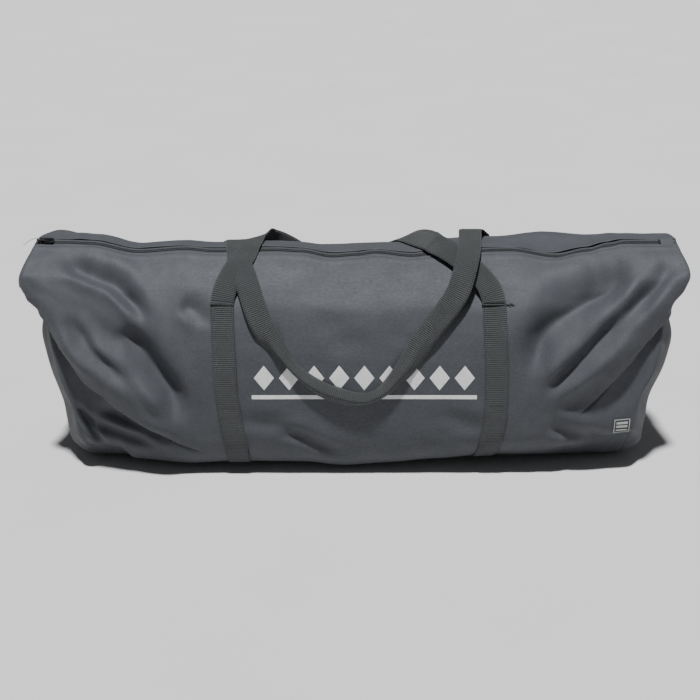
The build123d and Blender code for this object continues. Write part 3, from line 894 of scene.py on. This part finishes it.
def make_zip():
    """The zip's two tapes and two rows of coil, which follow its waves."""
    xs = np.linspace(LEFT_SEAM[-1][1] + 1, RIGHT_SEAM[-1][1] - 1, 264)  # sewn into both end seams
    for side, name in ((-1, "front"), (1, "back")):
        lanes = [0.6, 2.5, 5, 8, 11, 14]
        top, low = (np.array([[zip_point(x, side * a, up) for a in lanes[::-side]] for x in xs])
                    for up in (TAPE_TOP, TAPE_LOW))
        tape = strap_object(f"zip_tape_{name}_cloth", top[::-1], low[::-1], xs - xs[0], lanes[-1])
        finish_piece(tape, "zip_tape")
        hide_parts(f"zip_tape_{name}")
        coil = coil_object(f"zip_coil_{name}_turns", side)
        finish_piece(coil, "zip_coil")
        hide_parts(f"zip_coil_{name}")


def coil_object(name, side):
    """One row of a coil zip: a helix of nylon, flat underneath."""
    pitch, per_turn, wire, sides = 2.4, 8, 0.42, 5
    turns = int((ZIP_RIGHT - ZIP_LEFT) / pitch)
    centre, half_wide, half_tall = side * (0.6 + 1.65), 1.3, 0.8
    points = []
    for k in range(turns * per_turn + 1):
        angle = 2 * pi * k / per_turn + (pi if side > 0 else 0)
        x = ZIP_LEFT + pitch * k / per_turn
        points.append(zip_point(x, centre + half_wide * cos(angle), 1.25 + half_tall * sin(angle)))
    return tube(name, np.array(points), wire, sides)


def tube(name, points, radius, sides):
    """A round tube along points."""
    run = unit(np.gradient(points, axis=0))
    guide = np.tile([0.3, 0.5, 0.81], (len(points), 1))  # any way that the run never takes
    one = unit(np.cross(run, guide))
    two = np.cross(run, one)
    verts = []
    for p, a, b in zip(points, one, two):
        for q in range(sides):
            turn = 2 * pi * q / sides
            verts.append(p + radius * (cos(turn) * a + sin(turn) * b))
    return new_object(name, verts, tube_faces(0, len(points), sides))


# ---------------------------------------------------------------- handles
# Each handle as (x, y, z) of its centre line, the way across it, and how far it is folded lengthwise, in
# degrees, from its left stitches over the top, round the hanging loop and back to its right stitches
BACK_HANDLE = [
    (-219, 119, 297, 1, 0, 0, 0), (-219, 116, 308, 1, 0, 0, 0), (-214, 104, 335, 1, 0, 0.1, 0),
    (-206, 70, 346, 1, 0, 0, 0), (-202, 20, 362, 1, 0, 0, 0), (-198, -30, 362, 1, 0, 0, 0),
    (-193, -66, 354, 1, 0, 0, 0), (-185, -88, 342, 1, 0.1, 0.2, 0), (-176, -110, 325, 1, 0, 0.25, 0),
    (-166, -124, 297, 1, 0, 0.35, 0), (-150, -140, 262, 1, 0, 0.5, 10), (-128, -152, 224, 1, -0.25, 0.7, 50),
    (-96, -160, 188, 0.8, -0.2, 0.9, 56), (-61, -163, 163, 0.5, -0.1, 1, 44), (-25, -165, 151, 0.2, 0, 1, 44),
    (8, -166, 145, 0, 0, 1, 54), (34, -165, 153, -0.5, 0, 1, 58), (55, -163, 169, -0.8, -0.1, 0.9, 50),
    (79, -160, 200, -1, -0.1, 0.8, 30), (97, -153, 231, -1, 0, 0.7, 16), (117, -147, 262, -1, 0, 0.7, 4),
    (143, -137, 294, -1, 0, 0.6, 0), (163, -125, 323, -1, 0.1, 0.4, 0), (174, -107, 352, -1, 0.1, 0.2, 0),
    (182, -78, 374, -1, 0, 0.1, 0), (187, -34, 385, -1, 0, 0, 0), (191, 14, 384, -1, 0, 0, 0),
    (202, 66, 364, -1, 0, 0, 0), (215, 103, 338, -1, 0, -0.1, 0), (222, 117, 310, -1, 0, 0, 0),
    (222, 120, 297, -1, 0, 0, 0),
]
FRONT_HANDLE = [
    (-219, -117, 296, 1, 0, 0, 0), (-218, -114, 307, 1, 0, 0, 0), (-212, -104, 327, 1, 0, -0.1, 0),
    (-200, -84, 345, 1, -0.1, -0.3, 0), (-187, -56, 358, 0.9, -0.4, -0.3, 0),
    (-178, -20, 366, 0.8, -0.5, 0, 0), (-172, 20, 362, 0.7, -0.5, 0.3, 0), (-166, 62, 352, 0.6, -0.3, 0.6, 0),
    (-156, 98, 342, 0.4, -0.1, 0.85, 0), (-134, 118, 328, 0.2, 0, 0.95, 0), (-106, 128, 308, 0.3, 0, 0.9, 0),
    (-88, 136, 284, 0.8, 0, 0.6, 0), (-82, 146, 258, 1, 0, 0.4, 0),
    (-74, 158, 220, 1, 0, 0.4, 0), (-56, 164, 170, 1, 0, 0.6, 10), (-34, 167, 135, 0.6, 0, 1, 24),
    (-18, 168, 123, 0.1, 0, 1, 26), (2, 168, 124, -0.4, 0, 1, 26), (26, 166, 142, -0.9, 0, 0.7, 16),
    (48, 162, 186, -1, 0, 0.4, 0), (60, 154, 236, -1, 0, 0.3, 0), (66, 140, 284, -1, 0, 0.2, 0),
    (70, 116, 322, -1, 0, 0, 0), (78, 88, 344, -0.9, -0.2, -0.2, 0), (92, 48, 360, -0.75, -0.4, -0.4, 0),
    (110, 8, 369, -0.5, -0.6, -0.6, 0), (130, -28, 372, -0.35, -0.7, -0.6, 0),
    (150, -48, 368, -0.5, -0.55, -0.6, 0), (170, -66, 359, -0.8, -0.25, -0.4, 0),
    (190, -84, 348, -1, 0, 0, 0), (212, -103, 328, -1, 0, 0.1, 0), (221, -114, 307, -1, 0, 0, 0),
    (222, -117, 296, -1, 0, 0, 0),
]


HANDLE_COUNT = 300  # stations along each handle
FOLD_LIMIT = 62  # degrees
TACK_ROWS, TACK_COUNT = (2.5, 4.5, 6.5), 30  # how far the rows of a bartack are from the strap's end


def make_handle(name, stations, lifts, replaced):
    """One strap, sewn down at both ends, laid over the top and hanging in a loop.
    lifts gives how far it is kept off the cloth beyond its own thickness, for points of the strap."""
    dense = smooth_path(stations, HANDLE_COUNT)
    centres, ways, folds = dense[:, :3], dense[:, 3:6], np.radians(np.clip(dense[:, 6], 0, FOLD_LIMIT))
    ways, outs = frames_of(centres, ways)
    centres = keep_clear(centres, ways, WEB_THICK / 2 + HANDLE_GAP + lifts(centres))
    ways, outs = frames_of(centres, ways)
    obj = ribbon_mesh(name, centres, ways, outs, WEB_WIDTH, WEB_THICK, folds)
    finish_piece(obj, "webbing", body=None)
    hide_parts(*replaced)
    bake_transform(obj)
    lengths = run_lengths(centres)
    tacks = []
    for back_from_end in (False, True):
        for reach in TACK_ROWS:
            k = int(np.searchsorted(lengths, lengths[-1] - reach if back_from_end else reach))
            k = min(k, len(centres) - 1)
            across = np.linspace(-0.45, 0.45, TACK_COUNT)[:, None] * WEB_WIDTH
            row = centres[k] + ways[k] * across + outs[k] * (WEB_THICK / 2 + 0.25)
            tacks.append((row, np.tile(outs[k], (TACK_COUNT, 1))))
    return tacks


def keep_clear(centres, ways, gaps):
    """Moves a strap's stations out until no point across them is nearer to the cloth than their gap."""
    moved = centres.copy()
    for _ in range(3):
        for i in range(len(moved)):
            worst, push = 0.0, None
            for u in (-0.5, -0.25, 0, 0.25, 0.5):
                point = Vector(moved[i] + ways[i] * (u * WEB_WIDTH))
                spot, normal, _, distance = SKIN.find_nearest(point)
                lack = gaps[i] - (point - spot).dot(normal)
                if distance < NEAR_CLOTH and lack > worst:
                    worst, push = lack, normal
            if push is not None:
                moved[i] += np.array(push) * worst
        even_out(moved)
    return moved


def left_girth(a):
    """How the left webbing wanders along the bag as it goes round it."""
    return -219 + 4 * ease((a - 0.02) / 0.12) + 17 * ease((a - 0.14) / 0.2) - 21 * ease((a - 0.45) / 0.3)


def right_girth(a):
    """How the right webbing wanders along the bag as it goes round it."""
    return 223 + 6 * ease((a - 0.02) / 0.12) - 14 * ease((a - 0.2) / 0.16) + 7 * ease((a - 0.45) / 0.3)


def over_front(points):
    """The back handle comes down the front over the girth webbing and the front handle's ends."""
    front = ease((-points[:, 1] - 40) / 24)
    return 4.2 * front * ease((points[:, 2] - 200) / 60) + 3.0 * front


def behind_bag(points):
    """Low down behind the bag, the front handle hangs a little off the cloth."""
    return 1.6 * ease((300 - points[:, 2]) / 60)


def make_webbing():
    """Both girth webbings, both handles and the stitches that hold them."""
    rows, bars = [], []
    for name, centre_at in (("girth_webbing_left", left_girth), ("girth_webbing_right", right_girth)):
        top, normals = girth(name, centre_at)
        for lane in (1, -2):
            rows.append((top[:, lane], normals[:, lane]))
        front = [k for k in range(len(top) // 2) if top[k, 3, 2] < LOW_BAR_Z]
        for k in front[:2]:
            bars.append((top[k, 1:-1], normals[k, 1:-1]))
    stitches("girth_stitches", rows + bars)
    back = make_handle("back_handle_strap", BACK_HANDLE, over_front,
                       ("back_handle_riser_left", "back_handle_riser_right", "back_handle_loop"))
    front = make_handle("front_handle_strap", FRONT_HANDLE, behind_bag,
                        ("front_handle_riser_left", "front_handle_riser_right", "front_handle_loop"))
    stitches("back_bartack_threads", back, 1.5, 2.2, 0.8, ("back_bartacks",))
    stitches("front_bartack_threads", front + tuft(), 1.5, 2.2, 0.8, ("front_bartacks",))


def tuft():
    """The loose thread ends beside the right webbing's upper stitches."""
    left, level = 240, 299
    ends = []
    for k, (dx, dz) in enumerate(((15, -1), (13, 2.5), (16, 0.5), (11, -3), (9, 1))):
        xs = np.linspace(left, left + dx, 9)
        path, ways = [], []
        for i, x in enumerate(xs):
            spot, normal = on_skin(x, -110, level + dz * (i / 8) ** 2 + 0.8 * sin(i * 1.3 + k), (0, 1, 0))
            path.append(spot + normal * (1.2 + 0.5 * (k % 3)))
            ways.append(normal)
        ends.append((np.array(path), np.array(ways)))
    return ends


def make_hem_stitches():
    """The row of stitches along each hem beside the zip."""
    first, last, count = -526, 522, 320
    rows = []
    for side in (-1, 1):
        path, ways = [], []
        for x in np.linspace(first, last, count):
            over = zip_point(x, side * (HEM_EDGE + HEM_STITCH), HEM_UP + 1)
            spot, normal, _, _ = SKIN.find_nearest(Vector(over))
            path.append(np.array(spot) + np.array(normal) * 0.2)
            ways.append(np.array(normal))
        rows.append((np.array(path), np.array(ways)))
    stitches("hem_stitches", rows, 3.4, 2.5, 0.5)


def rim_of(mesh):
    """The points of a panel's edge, in order round it."""
    seen = {}
    for face in mesh.polygons:
        for key in face.edge_keys:
            seen[key] = seen.get(key, 0) + 1
    beside = {}
    for (a, b), times in seen.items():
        if times == 1:
            beside.setdefault(a, []).append(b)
            beside.setdefault(b, []).append(a)
    first = min(beside)
    order, last, here = [first], first, beside[first][0]
    while here != first:
        order.append(here)
        last, here = here, [k for k in beside[here] if k != last][0]
    return points_of(mesh)[order]


def make_binding():
    """Binding tape on the raw edges inside each end seam, open where the zip's tapes run out."""
    inset, radius, sides = 6, 2.4, 6
    zip_half, zip_low = 24, 330  # the tape leaves out this much of the rim beside the zip
    for side, name in ((-1, "left"), (1, "right")):
        rim = rim_of(panels[f"{name}_end"].data)
        near_zip = (np.abs(rim[:, 1] - ZIP_Y) < zip_half) & (rim[:, 2] > zip_low)
        start = int(np.argmax(near_zip))
        rim = np.roll(rim, -start, axis=0)
        near_zip = np.roll(near_zip, -start)
        rim = rim[~near_zip][::3]
        inward = np.array([0, 5, 170]) - rim
        inward[:, 0] = 0
        path = rim + unit(inward) * inset + np.array([-side * inset, 0, 0])
        tape = tube(f"{name}_seam_binding", smooth_path(path, len(path)), radius, sides)
        finish_piece(tape, "binding_tape")
        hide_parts(f"{name}_seam_tape")


def make_cord():
    """The thin light cord tied through the pull's hole."""
    hole, up = -526.5, 6.1
    route = [(hole, 0.0, up - 3.0), (hole, -0.3, up + 4.0), (-536.0, -6.0, up + 5.5),
             (-543.0, -13.0, up + 4.5), (-549.0, -20.0, up + 2.0)]
    diameter = 2.0
    curve = bpy.data.curves.new("pull_cord_strand", "CURVE")
    curve.dimensions = "3D"
    curve.bevel_depth = diameter / 2 * MM
    curve.bevel_resolution = 3
    curve.use_fill_caps = True
    spline = curve.splines.new("NURBS")
    spline.points.add(len(route) - 1)
    for point, (x, across, rise) in zip(spline.points, route):
        y = ZIP_Y + across * TILT_COS - rise * TILT_SIN
        z = ZIP_Z + across * TILT_SIN + rise * TILT_COS
        point.co = (x * MM, y * MM, z * MM, 1)
    spline.order_u = 3
    spline.use_endpoint_u = True
    spline.resolution_u = 12
    obj = placed("pull_cord_strand", curve)
    finish_piece(obj, "light_cord", body="pull")
    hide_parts("pull_cord")


def make_net_roll():
    """The rolled net: a lumpy roll whose last turn shows as a step, wound in a spiral at its ends."""
    low, high = (np.array(c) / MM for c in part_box("net_roll"))
    middle, radius, half = (low + high) / 2, (high[2] - low[2]) / 2, (high[0] - low[0]) / 2
    around, length = 72, 90
    verts, faces = [], []
    rows = [(-half + 2.5 * (k % 2), 0.12 + 0.8 * k / 9) for k in range(10)]
    rows += [(x, 1.0) for x in np.linspace(-half + 4, half - 4, length)]
    rows += [(half - 2.5 * (k % 2), 0.12 + 0.8 * k / 9) for k in range(9, -1, -1)]
    for x, share in rows:
        for q in range(around):
            turn = 2 * pi * q / around
            lump = noise.noise(Vector((x * 0.012, 2 * cos(turn), 2 * sin(turn))))
            r = share * radius * (0.955 - 0.03 * q / around + 0.015 * lump)
            verts.append(middle + np.array([x, r * cos(turn), r * sin(turn)]))
    for i in range(len(rows) - 1):
        for q in range(around):
            a, b = i * around + q, i * around + (q + 1) % around
            faces.append((a, a + around, b + around, b))
    faces.append(tuple(range(around)))
    faces.append(tuple(range(len(verts) - around, len(verts)))[::-1])
    uvs = [(verts[k][0] * MM, verts[k][2] * MM) for f in faces for k in f]
    roll = new_object("net_roll_cloth", verts, faces, uvs)
    finish_piece(roll, "net_fabric")
    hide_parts("net_roll")


make_zip()
make_webbing()
make_hem_stitches()
make_binding()
make_print()
make_label()
make_cord()
make_net_roll()


# ---------------------------------------------------------------- carried-over pieces
def dress_cad_nodes():
    """Gives every CAD piece that shows its procedural material."""
    slots = {part["node"]: part["material_slot"] for part in frame["record"]["subparts"]}
    for name, slot in slots.items():
        obj = bpy.data.objects.get(name)
        if obj is None or obj.type != "MESH":
            continue
        for holder in obj.material_slots:
            holder.material = MATERIALS[slot]
        if not obj.material_slots:
            obj.data.materials.append(MATERIALS[slot])


dress_cad_nodes()


# ---------------------------------------------------------------- floor, light and camera
def make_stage():
    """A plain pale floor, a soft light from above and in front, and the camera."""
    far, low = 6000, -0.5
    floor = new_object("floor", [(-far, -far, low), (far, -far, low), (far, far, low), (-far, far, low)],
                       [(0, 1, 2, 3)], smooth=False)
    floor.data.materials.append(surface("floor", (0.54, 0.54, 0.54), (0.57, 0.57, 0.57), 0.9, [(3, 1)], []))
    world = bpy.data.worlds.new("studio")
    bpy.context.scene.world = world
    world.use_nodes = True
    sky = world.node_tree.nodes["Background"]
    feed(world.node_tree, sky, {"Color": (0.93, 0.96, 1, 1), "Strength": 0.12})
    light = bpy.data.lights.new("key", "SUN")
    light.energy = 6.4
    light.angle = radians(4)
    placed("key", light).rotation_euler = Vector((-0.04, -0.25, 1)).to_track_quat("Z", "Y").to_euler()
    tilt, distance, aim = radians(22), 2.5, Vector((0, 0, 0.18))
    camera = bpy.data.cameras.new("camera")
    holder = placed("camera", camera)
    holder.location = aim + distance * Vector((0, -cos(tilt), sin(tilt)))
    holder.rotation_euler = (pi / 2 - tilt, 0, 0)
    camera.sensor_width = 36
    camera.lens = 74.4
    camera.shift_x, camera.shift_y = -0.01, -0.007
    bpy.context.scene.camera = holder


make_stage()
